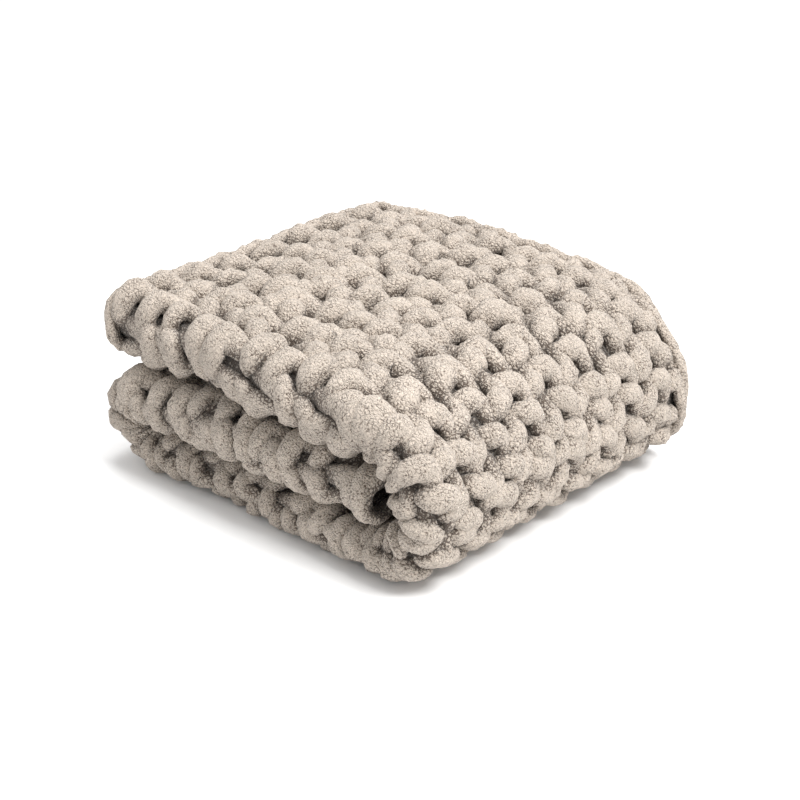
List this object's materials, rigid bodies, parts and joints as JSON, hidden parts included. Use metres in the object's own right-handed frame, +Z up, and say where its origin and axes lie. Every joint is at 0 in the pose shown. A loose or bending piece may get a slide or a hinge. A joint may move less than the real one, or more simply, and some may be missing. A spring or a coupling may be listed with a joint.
{
  "type": "folded chunky knit blanket",
  "caption": "Throw hand-knitted from thick chenille yarn, doubled and folded in three into a square stack.",
  "frame": {"origin": "centre of the stack's footprint, on the surface that it rests on", "axes": "+Z up; the long rounded fold faces -Y, the big bend faces +X, the top flap's free end is at -X and the open edges are at +Y"},
  "size_m": [0.5514, 0.522, 0.2424],
  "materials": {
    "yarn": "matt, short curly pile"
  },
  "bodies": {
    "root": {"blanket": "yarn"}
  },
  "joints": []
}
